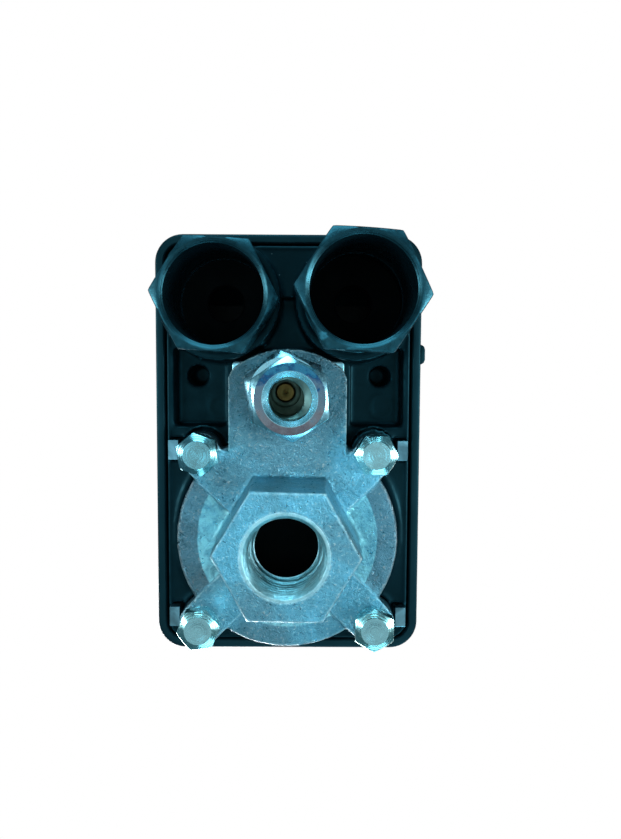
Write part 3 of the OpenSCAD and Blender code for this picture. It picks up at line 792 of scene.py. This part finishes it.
rows = [(1.2, 70.6), (2.6, 70.6), (3.2, 70.35), (3.4, 69.9), (3.4, 68.25), (3.2, 68.2), (1.95, 68.2)]
rows += thread_rows(1.95, -0.3, 0.7, 68.0, 59.5, 6)
rows += [(1.5, 59.2)]
scr = raw("cover_screw_head", polar(rows, 144, 0, SCREW_Y, ring=False))
for a in (0, 90):
    cut(scr, shift(turn(block(-2.1, 2.1, -0.42, 0.42, 69.5, 72), a), 0, SCREW_Y))
finish(scr, ZINC, "cover_fastener", ["cover_screw"], 35)

# ---------------------------------------------------------------- knob
KZ = 81.3
rib = 8.85 + 0.15 * np.clip(np.sin(TH * 36) * 2, -1, 1)
rows = [(1.0, KZ), (8.2, KZ), (rib - 0.1, KZ + 0.15), (rib, KZ + 0.4), (rib, KZ + 2.5),
        (rib - 0.25, KZ + 2.85), (7.6, KZ + 3.0), (7.45, KZ + 3.1), (7.4, KZ + 5.0), (7.15, KZ + 5.4),
        (6.8, KZ + 5.5), (1.0, KZ + 5.55)]
skirt = polar(rows, 144, 0, KNOB_Y, ring=False)
knob = raw("knob_skirt", skirt)
finish(knob, RED, "on_off", ["knob"], 35)
bar = raw("knob_grip", loft([[(x, y, z) for x, y in rrect(w, l, r, 0, KNOB_Y, 6)] for w, l, r, z in (
    (16.4, 3.9, 1.9, KZ + 2.6), (16.2, 3.7, 1.8, KZ + 6), (15.8, 3.5, 1.7, KZ + 9.4),
    (15.2, 2.9, 1.4, KZ + 10.2), (14.0, 1.8, 0.85, KZ + 10.5))]))
edge(bar, 0.15)
finish(bar, RED, "on_off", angle=45)

# ---------------------------------------------------------------- springs
# in two halves that meet at mid-height
for name, part, pair, z0, z1, nodes in (
        ("spring_main_low", (0.0, 0.5), ("lever", "housing"), 38.0, 45.5, ["main_spring"]),
        ("spring_main_top", (0.5, 1.0), ("housing", "spring_nut"), 46.5, 54.0, [])):
    ob = raw(name, helix(0, 0, 36.0, 56.0, 6.6, 2.2, 6.4, part=part))
    finish(ob, WIRE, None, nodes)
    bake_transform(ob)
sv = raw("spring_valve", helix(PX, UY + PY, 18.0, 21.2, 2.5, 0.5, 4.2))
finish(sv, WIRE, None, ["unloader_spring"])
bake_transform(sv)
cs = raw("spring_contacts", together(*[helix(s * 9.5, 34.0, 41.0, 46.0, 1.6, 0.5, 5.2) for s in (-1, 1)]))
finish(cs, WIRE, "carrier", ["contact_springs"])

# ---------------------------------------------------------------- CAD pieces that stay, with their looks
LOOKS = {"frame": STEEL, "pivot_pin": ZINC, "lever": STEEL, "spring_cup": BRIGHT, "spring_plate": STEEL,
         "adjusting_screw": ZINC, "contact_block": RESIN, "contact_carrier": CREAM, "bridge_contacts": BRASS,
         "terminal_strips": BRASS, "terminal_screws": ZINC, "block_screws": ZINC, "earth_screws": BRASS,
         "diaphragm": RUBBER, "piston": CREAM, "knob_shaft": CREAM}
for n, mat in LOOKS.items():
    ob = NODES[n]
    for s in ob.material_slots:
        s.material = mat
    w = ob.modifiers.new("weld", "WELD")
    w.merge_threshold = 1e-6
    b = ob.modifiers.new("edge", "BEVEL")
    b.width, b.segments, b.limit_method = (0.45 if n == "frame" else 0.12) * MM, 2, "ANGLE"
    b.angle_limit = math.radians(40)

# ---------------------------------------------------------------- stage, light and camera
floor = raw("floor", prism([(-4000, -4000), (4000, -4000), (4000, 4000), (-4000, 4000)], -520, -500))
fs = Nodes("floor_pale")
pale = fs.mix(fs.span(fs.noise(8.0, 3.0), 0.0, 1.0), (0.80, 0.81, 0.81), (0.84, 0.85, 0.85))
floor.data.materials.append(fs.out(pale, 0.6))
# the underside's lamps are balanced against the dim world, so the floor gives it no bounce
floor.visible_glossy = floor.visible_diffuse = False

# the world is white to the camera, and a dim blue to everything else
CY = (0.30, 0.78, 1.0)
DIM = 0.13
world = bpy.data.worlds.new("studio")
bpy.context.scene.world = world
world.use_nodes = True
wt = world.node_tree
bg = wt.nodes["Background"]
bg.inputs["Color"].default_value = (*CY, 1)
bg.inputs["Strength"].default_value = DIM
white = wt.nodes.new("ShaderNodeBackground")
white.inputs["Color"].default_value = (1, 1, 1, 1)
white.inputs["Strength"].default_value = 1.0
path = wt.nodes.new("ShaderNodeLightPath")
mixer = wt.nodes.new("ShaderNodeMixShader")
wt.links.new(path.outputs["Is Camera Ray"], mixer.inputs[0])
wt.links.new(bg.outputs[0], mixer.inputs[1])
wt.links.new(white.outputs[0], mixer.inputs[2])
wt.links.new(mixer.outputs[0], wt.nodes["World Output"].inputs[0])


def area(name, at, to, size, power, color, spread=180):
    """A rectangular lamp at one point, turned to another; places in metres, power in watts."""
    d = bpy.data.lights.new(name, "AREA")
    d.shape, d.size, d.size_y = "RECTANGLE", size[0], size[1]
    d.energy, d.color, d.spread = power, color, math.radians(spread)
    ob = bpy.data.objects.new(name, d)
    ob.location = at
    ob.rotation_euler = (Vector(to) - Vector(at)).to_track_quat("-Z", "Y").to_euler()
    bpy.context.scene.collection.objects.link(ob)
    return ob


area("side_l", (0.43, 0.04, -0.25), (0, 0.02, 0.01), (0.09, 0.13), 0.95, (0.60, 0.90, 1.0))
area("side_r", (-0.43, 0.00, -0.24), (0, 0.02, 0.01), (0.13, 0.17), 1.5, (0.60, 0.90, 1.0))
area("panel_l", (0.25, 0.00, -0.40), (0, 0.02, 0.01), (0.15, 0.30), 0.25, CY)
area("panel_r", (-0.27, 0.00, -0.40), (0, 0.02, 0.01), (0.15, 0.30), 0.34, CY)
area("above", (0.02, 0.52, -0.26), (0, 0.02, 0.01), (0.40, 0.26), 2.1, CY)
area("below", (-0.12, -0.48, -0.22), (0, 0.02, 0.01), (0.34, 0.20), 1.1, CY)
area("back", (0.25, -0.45, 0.65), (0, 0.02, 0.05), (0.5, 0.5), 2.5, (0.9, 0.97, 1.0), 50)

under = area("under", (0.0, -0.06, -0.47), (0, -0.06, 0.0), (0.48, 0.52), 0.43, (0.66, 0.93, 1.0))
under.visible_camera = False

sky = bpy.data.lights.new("overhead", "SUN")
sky.energy, sky.angle, sky.color = 2.4, math.radians(60), (0.96, 0.99, 1.0)
so = bpy.data.objects.new("overhead", sky)
so.rotation_euler = (math.radians(18), math.radians(-14), 0)
bpy.context.scene.collection.objects.link(so)

cam = bpy.data.cameras.new("camera")
cam.sensor_fit, cam.sensor_width, cam.sensor_height = "AUTO", 36.0, 36.0
# the focal length is a share of the picture's height, and the angles turn the camera from straight up
FOCAL_SHARE = 720.0 / 839.0
PITCH, YAW, ROLL = -4.14, -0.22, -0.27
CAM_AT = (-4.21, 36.05, -134.0)
cam.lens = cam.sensor_height * FOCAL_SHARE
cam.clip_start, cam.clip_end = 0.01, 50.0
co = bpy.data.objects.new("camera", cam)
bpy.context.scene.collection.objects.link(co)
fwd, up, right = Vector((0, 0, 1)), Vector((0, 1, 0)), Vector((-1, 0, 0))


def about(v, axis, deg):
    """The vector turned about an axis."""
    return Matrix.Rotation(math.radians(deg), 3, axis) @ v


fwd, up = about(fwd, right, PITCH), about(up, right, PITCH)
fwd, right = about(fwd, up, YAW), about(right, up, YAW)
up, right = about(up, fwd, ROLL), about(right, fwd, ROLL)
rot = Matrix((right, up, -fwd)).transposed()
co.matrix_world = Matrix.Translation(Vector(CAM_AT) * MM) @ rot.to_4x4()
bpy.context.scene.camera = co
bpy.context.scene.view_settings.view_transform = "Standard"
